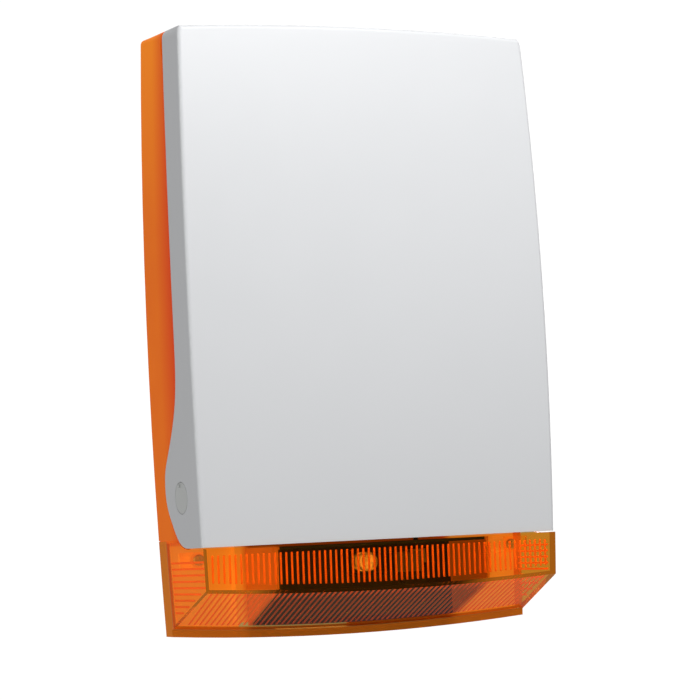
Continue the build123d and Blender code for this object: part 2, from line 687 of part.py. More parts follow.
with BuildPart() as board_screws:
    with BuildSketch(front_plane(BOARD_FRONT_Y)):
        with Locations(*BOARD_HOLES):
            Circle(2.4)
    extrude(amount=1.5)
    fillet(board_screws.edges().group_by(Axis.Y)[0], radius=0.6)
    with BuildSketch(front_plane(BOARD_FRONT_Y)):
        with Locations(*BOARD_HOLES):
            Circle(1.0)
    extrude(amount=-6)
    with BuildSketch(front_plane(BOARD_FRONT_Y - 0.7)):
        with Locations(*BOARD_HOLES):
            Rectangle(2.8, 0.6)
            Rectangle(0.6, 2.8)
    extrude(amount=3, mode=Mode.SUBTRACT)
finish(board_screws.part, "board_screws")


def on_board(x, z, width, height, depth):
    """A box-shaped component standing on the board, given its middle and its size."""
    return block((x - width / 2, x + width / 2), (BOARD_FRONT_Y - depth, BOARD_FRONT_Y),
                 (z - height / 2, z + height / 2))


TERMINAL_PITCH = 5.08
TERMINAL_COUNT = 8
TERMINAL_X = 52.0
TERMINAL_Z = 15.0
terminal_body = on_board(TERMINAL_X, TERMINAL_Z, TERMINAL_COUNT * TERMINAL_PITCH, 10, 10)

with BuildPart() as terminal_block:
    add(terminal_body)
    with BuildSketch(front_plane(BOARD_FRONT_Y - 10)):
        with Locations((TERMINAL_X, TERMINAL_Z + 1)):
            with GridLocations(TERMINAL_PITCH, 1, TERMINAL_COUNT, 1):
                Circle(1.9)
    extrude(amount=-4, mode=Mode.SUBTRACT)
    chamfer(terminal_block.edges().filter_by(Axis.X).group_by(Axis.Y)[0].sort_by(Axis.Z)[0], length=2)
finish(terminal_block.part, "terminal_block")

with BuildPart() as terminal_screws:
    with BuildSketch(front_plane(BOARD_FRONT_Y - 6)):
        with Locations((TERMINAL_X, TERMINAL_Z + 1)):
            with GridLocations(TERMINAL_PITCH, 1, TERMINAL_COUNT, 1):
                Circle(1.7)
    extrude(amount=2.4)
    with BuildSketch(front_plane(BOARD_FRONT_Y - 7.4)):
        with Locations((TERMINAL_X, TERMINAL_Z + 1)):
            with GridLocations(TERMINAL_PITCH, 1, TERMINAL_COUNT, 1):
                Rectangle(4, 0.6)
    extrude(amount=2, mode=Mode.SUBTRACT)
finish(terminal_screws.part, "terminal_screws")

relay_body = on_board(30, 66, 15, 19, 15)
with BuildPart() as relay:
    add(relay_body)
    fillet(relay.faces().sort_by(Axis.Y)[0].edges(), radius=0.8)
finish(relay.part, "relay")

chip_bodies = [on_board(52, 40, 10, 20, 4), on_board(72, 40, 8, 11, 2.6)]
with BuildPart() as control_chips:
    for chip in chip_bodies:
        add(chip)
    chamfer(control_chips.faces().group_by(Axis.Y)[0].edges(), length=0.4)
finish(control_chips.part, "control_chips")

CAPACITORS = [(46.0, 64.0, 6.3, 20.0), (62.0, 66.0, 5.0, 14.0), (75.0, 60.0, 4.0, 11.0)]
with BuildPart() as capacitors:
    for x, z, radius, height in CAPACITORS:
        with BuildSketch(front_plane(BOARD_FRONT_Y)):
            with Locations((x, z)):
                Circle(radius)
        extrude(amount=height)
    fillet(capacitors.edges().filter_by(GeomType.CIRCLE), radius=0.6)
finish(capacitors.part, "capacitors")

with BuildPart() as fuse:
    with BuildSketch(yz_plane(22)):
        with Locations((BOARD_FRONT_Y - 5, 30)):
            Circle(2.6)
    extrude(amount=20)
finish(fuse.part, "fuse")

with BuildPart() as fuse_clips:
    for x in (22, 37):
        with BuildSketch(yz_plane(x)):
            with Locations((BOARD_FRONT_Y - 4, 30)):
                Rectangle(8, 6.6)
            with Locations((BOARD_FRONT_Y - 5, 30)):
                Circle(2.65, mode=Mode.SUBTRACT)
            with Locations((BOARD_FRONT_Y - 8, 30)):
                Rectangle(6, 4, mode=Mode.SUBTRACT)
        extrude(amount=5)
finish(fuse_clips.part, "fuse_clips")

heat_body = on_board(80, 22, 6, 16, 18)
with BuildPart() as heat_sink:
    add(heat_body)
    with BuildSketch(front_plane(BOARD_FRONT_Y - 2)):
        with Locations((78.4, 22), (81.6, 22)):
            Rectangle(1.6, 13)
    extrude(amount=18, mode=Mode.SUBTRACT)
finish(heat_sink.part, "heat_sink")

jumper_body = on_board(74, 48, 10, 2.5, 8)
finish(jumper_body, "jumper_pins")

with BuildPart() as status_lamp:
    with BuildSketch(front_plane(BOARD_FRONT_Y)):
        with Locations(LED_POINT):
            Circle(2.9)
    extrude(amount=1)
    with BuildSketch(front_plane(BOARD_FRONT_Y - 1)):
        with Locations(LED_POINT):
            Circle(2.5)
    extrude(amount=7)
    fillet(status_lamp.edges().group_by(Axis.Y)[0], radius=2.0)
finish(status_lamp.part, "status_lamp")

SPEAKER_PLUG = (22.0, 50.0)
plug_body = on_board(SPEAKER_PLUG[0], SPEAKER_PLUG[1], 8, 9, 7)
finish(plug_body, "speaker_socket")


# ---------------------------------------------------------------- horn speaker
HORN_BACK_Y = CHANNEL_FRONT_Y
horn_axis = Axis((HORN_X, 0, HORN_Z), (0, 1, 0))
horn_plane = Plane(origin=(HORN_X, 0, HORN_Z), x_dir=(1, 0, 0), z_dir=(0, 0, 1))

with BuildPart() as horn:
    with BuildSketch(front_plane(HORN_BACK_Y)):
        with Locations((HORN_X, HORN_Z)):
            RectangleRounded(HORN_FLANGE, HORN_FLANGE, 8)
            with GridLocations(HORN_FLANGE - 10, HORN_FLANGE - 10, 2, 2):
                Circle(1.7, mode=Mode.SUBTRACT)
            Circle(HORN_MOUTH_R, mode=Mode.SUBTRACT)
    extrude(amount=HORN_FLANGE_T)
    with BuildSketch(horn_plane):
        with BuildLine():
            inside = TangentArc((HORN_MOUTH_R, HORN_BACK_Y), (HORN_THROAT_R, HORN_THROAT_Y), tangent=(-1, 0))
            outside = TangentArc((HORN_MOUTH_R + 1, HORN_BACK_Y - HORN_FLANGE_T),
                                 (HORN_THROAT_R + 4, HORN_THROAT_Y), tangent=(-1, 0))
            Polyline(inside @ 0, (HORN_MOUTH_R + 1, HORN_BACK_Y), outside @ 0)
            Line(outside @ 1, inside @ 1)
        make_face()
    revolve(axis=horn_axis)
finish(horn.part, "horn")

with BuildPart() as horn_driver:
    with BuildSketch(horn_plane):
        with BuildLine():
            Polyline((0, HORN_THROAT_Y), (DRIVER_R - 4, HORN_THROAT_Y), (DRIVER_R, HORN_THROAT_Y - 3),
                     (DRIVER_R, DRIVER_FRONT_Y + 5), (DRIVER_R - 2, DRIVER_FRONT_Y + 3),
                     (DRIVER_R - 6, DRIVER_FRONT_Y + 3), (DRIVER_R - 7, DRIVER_FRONT_Y), (0, DRIVER_FRONT_Y),
                     (0, HORN_THROAT_Y))
        make_face()
    revolve(axis=horn_axis)
finish(horn_driver.part, "horn_driver")

driver_tabs_body = block((HORN_X + DRIVER_R - 0.3, HORN_X + DRIVER_R + 3), (-36, -33), (HORN_Z - 4, HORN_Z + 4))
with BuildPart() as driver_tabs:
    add(driver_tabs_body)
    add(horn_driver.part, mode=Mode.SUBTRACT)
finish(driver_tabs.part, "driver_tabs")

with BuildPart() as horn_screws:
    with BuildSketch(front_plane(HORN_BACK_Y - HORN_FLANGE_T)):
        with Locations((HORN_X, HORN_Z)):
            with GridLocations(HORN_FLANGE - 10, HORN_FLANGE - 10, 2, 2):
                Circle(2.8)
    extrude(amount=1.8)
    fillet(horn_screws.edges().group_by(Axis.Y)[0], radius=0.8)
    with BuildSketch(front_plane(HORN_BACK_Y - HORN_FLANGE_T)):
        with Locations((HORN_X, HORN_Z)):
            with GridLocations(HORN_FLANGE - 10, HORN_FLANGE - 10, 2, 2):
                Circle(1.5)
    extrude(amount=-HORN_FLANGE_T)
finish(horn_screws.part, "horn_screws")


# ---------------------------------------------------------------- flasher behind the lens
flash_bounds = lens_side(WALL + 0.6)
flash_front = casing_form(WALL + 0.6, LENS_PROUD)
flash_outer = block((-FLASH_HALF, FLASH_HALF), (-70, CHANNEL_FRONT_Y - 0.3), (-170, FLASH_TOP_Z))
flash_inner = block((-FLASH_HALF + FLASH_WALL, FLASH_HALF - FLASH_WALL), (-72, CHANNEL_FRONT_Y - 0.3 - FLASH_WALL),
                    (-172, FLASH_TOP_Z - FLASH_WALL))

with BuildPart() as flash_housing:
    add(flash_outer)
    add(flash_bounds, mode=Mode.INTERSECT)
    add(flash_front, mode=Mode.INTERSECT)
    add(flash_inner, mode=Mode.SUBTRACT)
    # notch for the lead
    with BuildSketch(Plane.XY.offset(FLASH_TOP_Z + 1)):
        with Locations((34, -15)):
            Circle(2.2)
    extrude(amount=-FLASH_WALL - 2, mode=Mode.SUBTRACT)
finish(flash_housing.part, "flash_housing")

FLASH_BOARD_Y = CHANNEL_FRONT_Y - 0.3 - FLASH_WALL
flash_board_body = block((-44, 40), (FLASH_BOARD_Y - 1.6, FLASH_BOARD_Y), (-134, -112))
finish(flash_board_body, "flash_board")

FLASH_SOCKET_TOP_Z = -113.0
flash_socket_body = block((30, 38), (FLASH_BOARD_Y - 6.6, FLASH_BOARD_Y - 1.6), (-120, FLASH_SOCKET_TOP_Z))
finish(flash_socket_body, "flash_socket")

SOCKET_Y = FLASH_BOARD_Y - 1.6
with BuildPart() as lamp_socket:
    with BuildSketch(front_plane(SOCKET_Y)):
        with Locations((0, LAMP_Z)):
            Circle(6.6)
    extrude(amount=6)
    with BuildSketch(front_plane(SOCKET_Y - 6)):
        with Locations((0, LAMP_Z)):
            Circle(5.6)
            Rectangle(9, 2.6, mode=Mode.SUBTRACT)
    extrude(amount=4)
finish(lamp_socket.part, "lamp_socket")

LAMP_BASE_Y = SOCKET_Y - 6
with BuildPart() as lamp:
    with BuildSketch(front_plane(LAMP_BASE_Y)):
        with Locations((0, LAMP_Z)):
            RectangleRounded(8.6, 2.4, 1.1)
    extrude(amount=5)
    with BuildSketch(front_plane(LAMP_BASE_Y - 4)):
        with Locations((0, LAMP_Z)):
            Circle(LAMP_R)
    extrude(amount=15)
    fillet(lamp.edges().group_by(Axis.Y)[0], radius=LAMP_R - 0.2)
finish(lamp.part, "lamp")

with BuildPart() as lamp_bracket:
    with BuildSketch(Plane.XY.offset(LAMP_Z - 6)):
        with BuildLine():
            Polyline((14, SOCKET_Y), (14, -36), (28, -36), (28, SOCKET_Y))
            offset(amount=0.8, side=Side.RIGHT)
        make_face()
    extrude(amount=10)
finish(lamp_bracket.part, "lamp_bracket")


# ---------------------------------------------------------------- tamper switch
with BuildPart() as tamper_switch:
    with BuildSketch(front_plane(TAMPER_PAD_Y)):
        with Locations((TAMPER_X, TAMPER_Z)):
            RectangleRounded(20, 10, 1)
    extrude(amount=TAMPER_BODY)
    with BuildSketch(front_plane(TAMPER_PAD_Y - TAMPER_BODY)):
        with Locations((TAMPER_X, TAMPER_Z)):
            Circle(5)
    extrude(amount=12)
    with BuildSketch(front_plane(TAMPER_PAD_Y - 4)):
        with Locations((TAMPER_X, TAMPER_Z)):
            Circle(3.4)
    extrude(amount=50, mode=Mode.SUBTRACT)
    with BuildSketch(front_plane(TAMPER_PAD_Y - TAMPER_BODY - 10)):
        with Locations((TAMPER_X, TAMPER_Z)):
            Circle(5)
            Circle(2.05, mode=Mode.SUBTRACT)
    extrude(amount=2)
finish(tamper_switch.part, "tamper_switch")

TAMPER_COLLAR_Y = TAMPER_PAD_Y - TAMPER_BODY - 4
with BuildPart() as tamper_plunger:
    with BuildSketch(front_plane(TAMPER_PAD_Y - 8)):
        with Locations((TAMPER_X, TAMPER_Z)):
            Circle(2.0)
    extrude(amount=TAMPER_PAD_Y - 8 - TAMPER_TIP_Y)
    fillet(tamper_plunger.edges().group_by(Axis.Y)[0], radius=1.2)
    with BuildSketch(front_plane(TAMPER_COLLAR_Y)):
        with Locations((TAMPER_X, TAMPER_Z)):
            Circle(3.2)
    extrude(amount=1.5)
finish(tamper_plunger.part, "tamper_plunger")

SPRING_R = 2.75
SPRING_WIRE = 0.25
SPRING_BACK_Y = TAMPER_PAD_Y - 4.3
with BuildPart() as tamper_spring:
    turns = 6
    span = SPRING_BACK_Y - TAMPER_COLLAR_Y - 0.6
    with BuildLine() as coil:
        Helix(pitch=span / turns, height=span, radius=SPRING_R, center=(TAMPER_X, SPRING_BACK_Y - 0.3, TAMPER_Z),
              direction=(0, -1, 0))
    with BuildSketch(Plane(origin=coil.line @ 0, z_dir=coil.line % 0)):
        Circle(SPRING_WIRE)
    sweep()
finish(tamper_spring.part, "tamper_spring")


# ---------------------------------------------------------------- cable grommet and spirit level
with BuildPart() as cable_grommet:
    with BuildSketch(front_plane(0)):
        with Locations(CABLE_POINT):
            Circle(CABLE_HOLE_R)
            Circle(CABLE_BORE_R, mode=Mode.SUBTRACT)
    extrude(amount=PLATE + 1)
    with BuildSketch(front_plane(-PLATE)):
        with Locations(CABLE_POINT):
            Circle(CABLE_HOLE_R + 2)
            Circle(CABLE_BORE_R, mode=Mode.SUBTRACT)
    extrude(amount=2.5)
    fillet(cable_grommet.edges().filter_by(GeomType.CIRCLE).group_by(Axis.Y)[0].sort_by(SortBy.LENGTH)[-1],
           radius=1.2)
finish(cable_grommet.part, "cable_grommet")

LEVEL_POINT = (-6.0, 108.0)
LEVEL_Y = -11.0
with BuildPart() as level_holder:
    with BuildSketch(front_plane(-PLATE)):
        with Locations(LEVEL_POINT):
            RectangleRounded(44, 14, 2)
    extrude(amount=8)
    with BuildSketch(yz_plane(LEVEL_POINT[0] - 18)):
        with Locations((LEVEL_Y, LEVEL_POINT[1])):
            Circle(5)
    extrude(amount=36, mode=Mode.SUBTRACT)
finish(level_holder.part, "level_holder")

with BuildPart() as level_vial:
    with BuildSketch(yz_plane(LEVEL_POINT[0] - 17)):
        with Locations((LEVEL_Y, LEVEL_POINT[1])):
            Circle(4.9)
    extrude(amount=34)
    fillet(level_vial.edges().filter_by(GeomType.CIRCLE), radius=1.5)
finish(level_vial.part, "level_vial")


# ---------------------------------------------------------------- wiring held inside
TERMINAL_ENTRY_Z = TERMINAL_Z - 5
ENTRY_Y = BOARD_FRONT_Y - 4
red_x = TERMINAL_X - 3.5 * TERMINAL_PITCH
black_x = red_x + TERMINAL_PITCH
flash_x = TERMINAL_X + 0.5 * TERMINAL_PITCH
RED_ROUTE = [(TAB_PLACES["red"], BATTERY_MID_Y, RECEPTACLE_TOP_Z), (TAB_PLACES["red"], BATTERY_MID_Y, 13),
             (-60, -26, 17), (-46, -25.5, 16), (-28, -24.5, 12.5), (-8, -22, 6), (8, -19, 1), (22, -16, -1.6),
             (red_x - 2, ENTRY_Y, -0.5), (red_x, ENTRY_Y, 4.5), (red_x, ENTRY_Y, TERMINAL_ENTRY_Z)]
BLACK_ROUTE = [(TAB_PLACES["black"], BATTERY_MID_Y, RECEPTACLE_TOP_Z), (TAB_PLACES["black"], BATTERY_MID_Y, 14),
               (-74, -28, 18.5), (-60, -30, 14.5), (-42, -31, 11.5), (-22, -30, 8), (-4, -27, 3), (12, -23, -1),
               (26, -19, -3), (black_x - 2, -16, -1.5), (black_x, ENTRY_Y, 4), (black_x, ENTRY_Y, TERMINAL_ENTRY_Z)]
FLASH_ROUTE = [(34, -15, FLASH_SOCKET_TOP_Z), (34, -15, -104), (34.5, -11, -91), (35, -6.2, -76),
               (35.5, -5.7, -54), (36, -6.0, -32), (38, -5.8, -14), (42, -8.4, -2.2), (48.5, -13.2, -1.2),
               (flash_x, ENTRY_Y, 3), (flash_x, ENTRY_Y, TERMINAL_ENTRY_Z)]
SPEAKER_ROUTE = [(HORN_X + DRIVER_R + 3, -34.5, HORN_Z), (-7, -34.5, HORN_Z), (-1, -32, 45.5), (5, -26, 48.5),
                 (9, -19.5, 50), (13, -15.5, 50), (SPEAKER_PLUG[0] - 4, -15.5, 50)]
for name, route, diameter in (("battery_lead_red", RED_ROUTE, 2.2), ("battery_lead_black", BLACK_ROUTE, 2.2),
                              ("flash_lead", FLASH_ROUTE, 2.6), ("speaker_lead", SPEAKER_ROUTE, 2.6)):
    finish(lead(route, diameter, name), name)
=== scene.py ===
import json
import math

import bmesh
import bpy
from mathutils import Matrix, Vector


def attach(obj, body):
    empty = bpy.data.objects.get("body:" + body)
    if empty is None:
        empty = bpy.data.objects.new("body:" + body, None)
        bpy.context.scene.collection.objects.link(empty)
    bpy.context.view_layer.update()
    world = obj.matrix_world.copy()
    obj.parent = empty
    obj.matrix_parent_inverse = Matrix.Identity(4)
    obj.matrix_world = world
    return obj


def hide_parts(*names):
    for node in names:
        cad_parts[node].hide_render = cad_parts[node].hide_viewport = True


# Outdoor alarm siren.  Metres, in the CAD model's frame: the wall is the plane Y = 0, the front faces -Y,
# and the origin is at the centre of the four wall screws.

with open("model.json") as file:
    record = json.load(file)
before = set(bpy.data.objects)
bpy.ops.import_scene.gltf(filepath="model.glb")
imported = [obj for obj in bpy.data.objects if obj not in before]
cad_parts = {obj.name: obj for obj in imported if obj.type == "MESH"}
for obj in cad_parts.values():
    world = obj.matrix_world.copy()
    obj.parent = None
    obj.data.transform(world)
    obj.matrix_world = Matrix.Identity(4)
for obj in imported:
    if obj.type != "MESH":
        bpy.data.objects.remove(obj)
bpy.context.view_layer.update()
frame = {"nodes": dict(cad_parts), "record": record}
nodes = frame["nodes"]
MM = 0.001

# Where the materials change, in metres: pairs are the two ends of a blend.
LAMP_BOX_SIDE = (0.054, 0.059)
LAMP_BOX_WALL = (0.0542, 0.0545)
COVER_EDGE_Z = (-0.1060, -0.1040)
TRAY_PAINTED_SHADE_Y = (-0.035, -0.016)
TRAY_PAINTED_LIGHT_Z = (0.05, 0.145)
LENS_BORDER_Y = (-0.0105, -0.0090)
SLOPE_TOP_Z = (-0.1335, -0.1305)
# Y of a face's normal, where it starts to count as facing the wall and where it fully does.
FACES_WALL = (0.3, 0.7)


# ---------------------------------------------------------------- node helpers for materials
def new_material(name, roughness=0.5, metallic=0.0, ior=1.5, **sockets):
    """A material with one Principled shader.  Further sockets are named with _ for each space."""
    material = bpy.data.materials.new(name)
    material.use_nodes = True
    shader = material.node_tree.nodes["Principled BSDF"]
    shader.inputs["Roughness"].default_value = roughness
    shader.inputs["Metallic"].default_value = metallic
    shader.inputs["IOR"].default_value = ior
    for key, value in sockets.items():
        shader.inputs[key.replace("_", " ")].default_value = value
    return material


def add_node(material, kind, **values):
    """A new node in a material's tree, with its properties or input sockets set."""
    node = material.node_tree.nodes.new(kind)
    for key, value in values.items():
        if hasattr(node, key):
            setattr(node, key, value)
        else:
            node.inputs[key.replace("_", " ")].default_value = value
    return node


def link(material, source, target):
    material.node_tree.links.new(source, target)


def shader_of(material):
    return material.node_tree.nodes["Principled BSDF"]


def position(material):
    """The point's place in the object, in metres, split into X, Y and Z."""
    coordinates = add_node(material, "ShaderNodeTexCoord")
    split = add_node(material, "ShaderNodeSeparateXYZ")
    link(material, coordinates.outputs["Object"], split.inputs[0])
    return coordinates.outputs["Object"], split


def noise(material, vector, scale, detail=3.0, roughness=0.55):
    node = add_node(material, "ShaderNodeTexNoise", Scale=scale, Detail=detail, Roughness=roughness)
    link(material, vector, node.inputs["Vector"])
    return node.outputs["Fac"]


def map_range(material, value, low, high, to_low, to_high):
    node = add_node(material, "ShaderNodeMapRange")
    node.inputs["From Min"].default_value = low
    node.inputs["From Max"].default_value = high
    node.inputs["To Min"].default_value = to_low
    node.inputs["To Max"].default_value = to_high
    link(material, value, node.inputs["Value"])
    return node.outputs["Result"]


def mix_colours(material, factor, first, second):
    """Mix two colours, each a tuple or a socket."""
    node = add_node(material, "ShaderNodeMix", data_type="RGBA")
    link(material, factor, node.inputs["Factor"])
    for colour, socket in ((first, node.inputs[6]), (second, node.inputs[7])):
        if isinstance(colour, tuple):
            socket.default_value = (*colour, 1.0)
        else:
            link(material, colour, socket)
    return node.outputs[2]


def calculate(material, operation, *sources):
    """One Math node over one or two sockets."""
    node = add_node(material, "ShaderNodeMath", operation=operation)
    for source, socket in zip(sources, node.inputs):
        link(material, source, socket)
    return node.outputs[0]


def beside_lamp_box(material, split, blend=LAMP_BOX_SIDE):
    """1 at the two ends of the lens, beyond the dark lamp box, and 0 in front of the box."""
    distance = calculate(material, "ABSOLUTE", split.outputs["X"])
    return map_range(material, distance, *blend, 0.0, 1.0)


def turned_from_wall(material):
    """0 on faces that look at the wall behind the siren, which get no light, and 1 on all others."""
    coordinates = add_node(material, "ShaderNodeTexCoord")
    direction = add_node(material, "ShaderNodeSeparateXYZ")
    link(material, coordinates.outputs["Normal"], direction.inputs[0])
    return map_range(material, direction.outputs["Y"], *FACES_WALL, 1.0, 0.0)


def below_cover(material, split):
    """1 behind the lens and 0 above the cover's lower edge."""
    return map_range(material, split.outputs["Z"], *COVER_EDGE_Z, 1.0, 0.0)


def add_bump(material, height, distance, strength=0.3):
    bump = add_node(material, "ShaderNodeBump", Strength=strength, Distance=distance)
    link(material, height, bump.inputs["Height"])
    link(material, bump.outputs["Normal"], shader_of(material).inputs["Normal"])


def moulded(name, colour, roughness=0.45, variation=0.06, grain=900.0, depth=0.00004, ior=1.5, **sockets):
    """Moulded plastic or rubber: a fine grain, slight mottling of its colour and of its gloss."""
    material = new_material(name, roughness, ior=ior, **sockets)
    place, _ = position(material)
    dark = tuple(c * (1 - variation) for c in colour)
    light = tuple(min(1.0, c * (1 + variation)) for c in colour)
    cloud = noise(material, place, 35.0)
    link(material, mix_colours(material, cloud, dark, light), shader_of(material).inputs["Base Color"])
    gloss = map_range(material, noise(material, place, 120.0), 0.3, 0.7, roughness * 0.9, roughness * 1.12)
    link(material, gloss, shader_of(material).inputs["Roughness"])
    add_bump(material, noise(material, place, grain), depth)
    return material


def metal(name, colour, roughness=0.3, brush_axis=2, variation=0.12, brush=260.0):
    """Plated or brushed metal, with fine streaks along one axis."""
    material = new_material(name, roughness, metallic=1.0)
    place, _ = position(material)
    stretch = add_node(material, "ShaderNodeMapping")
    scale = [1.0, 1.0, 1.0]
    scale[brush_axis] = 0.06
    stretch.inputs["Scale"].default_value = scale
    link(material, place, stretch.inputs["Vector"])
    streaks = noise(material, stretch.outputs["Vector"], brush, 4.0)
    dark = tuple(c * (1 - variation) for c in colour)
    link(material, mix_colours(material, streaks, dark, colour), shader_of(material).inputs["Base Color"])
    worn = map_range(material, streaks, 0.3, 0.7, roughness * 0.75, roughness * 1.3)
    link(material, worn, shader_of(material).inputs["Roughness"])
    add_bump(material, streaks, 0.00002, 0.25)
    return material


# ---------------------------------------------------------------- materials
def white_shell():
    """Satin white ABS, with a very fine spark-eroded grain."""
    material = new_material("white_shell", 0.42, ior=1.46)
    place, _ = position(material)
    cloud = noise(material, place, 9.0, 2.0)
    colour = mix_colours(material, cloud, (0.745, 0.755, 0.77), (0.775, 0.785, 0.80))
    link(material, colour, shader_of(material).inputs["Base Color"])
    gloss = map_range(material, noise(material, place, 60.0), 0.3, 0.7, 0.34, 0.42)
    link(material, gloss, shader_of(material).inputs["Roughness"])
    add_bump(material, noise(material, place, 2600.0, 2.0), 0.00002, 0.22)
    return material


def orange_housing():
    """Orange polycarbonate.  It is opaque here: a weak emission stands for the light that real, translucent
    plastic
    collects.  Painted light and shade: it is lighter towards the top and reddens towards the cover, and
    behind the lens its two ends get a painted glow in a brighter orange while its middle is dimmed."""
    material = new_material("orange_housing", 0.32, ior=1.3, Specular_IOR_Level=0.15)
    shader = shader_of(material)
    place, split = position(material)
    # Painted shade: the colour turns a darker red towards the cover's rear edge.
    depth = map_range(material, split.outputs["Y"], *TRAY_PAINTED_SHADE_Y, 1.0, 0.0)
    cloud = noise(material, place, 45.0)
    low = mix_colours(material, cloud, (0.80, 0.145, 0.004), (0.86, 0.175, 0.005))
    # Painted light: the colour is a lighter orange towards the top.
    painted_top_light = map_range(material, split.outputs["Z"], *TRAY_PAINTED_LIGHT_Z, 0.0, 1.0)
    body = mix_colours(material, painted_top_light, low, (0.98, 0.25, 0.006))
    colour_with_painted_shade = mix_colours(material, depth, body, (0.72, 0.060, 0.004))
    off_wall = turned_from_wall(material)
    # Painted light and shade behind the lens: its two ends are painted a brighter orange with a stronger
    # glow, its middle glows dimmer, and faces turned to the wall barely glow.
    behind_lens = calculate(material, "MULTIPLY", off_wall, below_cover(material, split))
    lit_end = calculate(material, "MULTIPLY", behind_lens, beside_lamp_box(material, split))
    colour = mix_colours(material, lit_end, colour_with_painted_shade, (0.88, 0.44, 0.09))
    link(material, colour, shader.inputs["Base Color"])
    link(material, colour, shader.inputs["Emission Color"])
    dark_middle = map_range(material, behind_lens, 0.0, 1.0, 1.0, 0.2)
    shine = calculate(material, "MAXIMUM", calculate(material, "MULTIPLY", off_wall, dark_middle), lit_end)
    link(material, map_range(material, shine, 0.0, 1.0, 0.04, 0.32), shader.inputs["Emission Strength"])
    add_bump(material, noise(material, place, 1800.0, 2.0), 0.00002, 0.15)
    return material


def orange_lens(name):
    """Clear orange polycarbonate, polished, with a faint moulding ripple and a denser border at the wall.
    Its index of refraction is set to match the photograph: the real plastic's is about 1.58."""
    material = new_material(name, 0.03, ior=1.1, Specular_Tint=(1.0, 0.45, 0.2, 1.0))
    shader = shader_of(material)
    place, split = position(material)
    cloud = noise(material, place, 60.0)
    wall = mix_colours(material, cloud, (1.0, 0.66, 0.18), (1.0, 0.74, 0.22))
    border = map_range(material, split.outputs["Y"], *LENS_BORDER_Y, 0.0, 1.0)
    link(material, mix_colours(material, border, wall, (0.92, 0.26, 0.02)), shader.inputs["Base Color"])
    link(material, map_range(material, border, 0.0, 1.0, 1.0, 0.12), shader.inputs["Transmission Weight"])
    # Painted glow: a faint emission all over, stronger at the lens's two ends beyond the dark lamp box.
    shader.inputs["Emission Color"].default_value = (1.0, 0.34, 0.04, 1.0)
    painted_end_glow = beside_lamp_box(material, split)
    link(material, map_range(material, painted_end_glow, 0.0, 1.0, 0.004, 0.05), shader.inputs["Emission Strength"])
    add_bump(material, noise(material, place, 220.0, 2.0), 0.00003, 0.12)
    return material


def orange_rib():
    """The lens's ribs: the same plastic, deeper in colour, with a painted glow: an emission for the light
    they catch.
    """
    material = new_material("orange_rib", 0.35, ior=1.1, Specular_IOR_Level=0.2, Transmission_Weight=0.2)
    shader = shader_of(material)
    place, split = position(material)
    # Painted glints: the emission is full on the upright front, weak on the slope in front of the dark lamp
    # box, and strong at the two ends.
    upright = map_range(material, split.outputs["Z"], *SLOPE_TOP_Z, 0.16, 1.0)
    at_end = map_range(material, beside_lamp_box(material, split), 0.0, 1.0, 0.0, 0.75)
    shine = calculate(material, "MAXIMUM", upright, at_end)
    link(material, map_range(material, shine, 0.0, 1.0, 0.0, 0.25), shader.inputs["Emission Strength"])
    colour = mix_colours(material, noise(material, place, 90.0), (0.90, 0.13, 0.010), (0.98, 0.19, 0.014))
    link(material, colour, shader.inputs["Base Color"])
    link(material, colour, shader.inputs["Emission Color"])
    add_bump(material, noise(material, place, 400.0, 2.0), 0.00003, 0.15)
    return material


def lamp_box():
    """The lamp's box: black, with orange end walls, which are picked out by their place."""
    material = moulded("lamp_box", (0.010, 0.010, 0.011), 0.42, 0.15)
    shader = shader_of(material)
    _, split = position(material)
    orange = beside_lamp_box(material, split, LAMP_BOX_WALL)
    black = shader.inputs["Base Color"].links[0].from_socket
    link(material, mix_colours(material, orange, black, (0.60, 0.13, 0.008)), shader.inputs["Base Color"])
    # Painted glow: the orange end walls give a weak emission, for light carried through the plastic.
    shader.inputs["Emission Color"].default_value = (0.9, 0.24, 0.012, 1.0)
    link(material, map_range(material, orange, 0.0, 1.0, 0.0, 0.12), shader.inputs["Emission Strength"])
    return material


def lamp_glass():
    """The lamp's envelope: clear, with a painted warm highlight: blotches of weak emission on the glass."""
    material = clear("lamp_glass", (0.98, 0.93, 0.82), 0.05)
    shader = shader_of(material)
    place, _ = position(material)
    # Painted highlight: blotches of warm emission stand for light caught on the glass.
    painted_glint = map_range(material, noise(material, place, 260.0), 0.45, 0.62, 0.02, 0.45)
    shader.inputs["Emission Color"].default_value = (1.0, 0.42, 0.10, 1.0)
    link(material, painted_glint, shader.inputs["Emission Strength"])
    return material


def galvanised():
    """Galvanised sheet steel, with its large pale spangle.  It is part metallic, to look dull and pale."""
    material = new_material("galvanised", 0.35, metallic=0.55)
    place, _ = position(material)
    spangle = add_node(material, "ShaderNodeTexVoronoi", Scale=140.0)
    link(material, place, spangle.inputs["Vector"])
    tone = add_node(material, "ShaderNodeSeparateColor")
    link(material, spangle.outputs["Color"], tone.inputs[0])
    colour = mix_colours(material, tone.outputs[0], (0.50, 0.51, 0.53), (0.68, 0.69, 0.70))
    link(material, colour, shader_of(material).inputs["Base Color"])
    gloss = map_range(material, tone.outputs[1], 0.0, 1.0, 0.28, 0.46)
    link(material, gloss, shader_of(material).inputs["Roughness"])
    add_bump(material, noise(material, place, 500.0), 0.00003, 0.2)
    return material


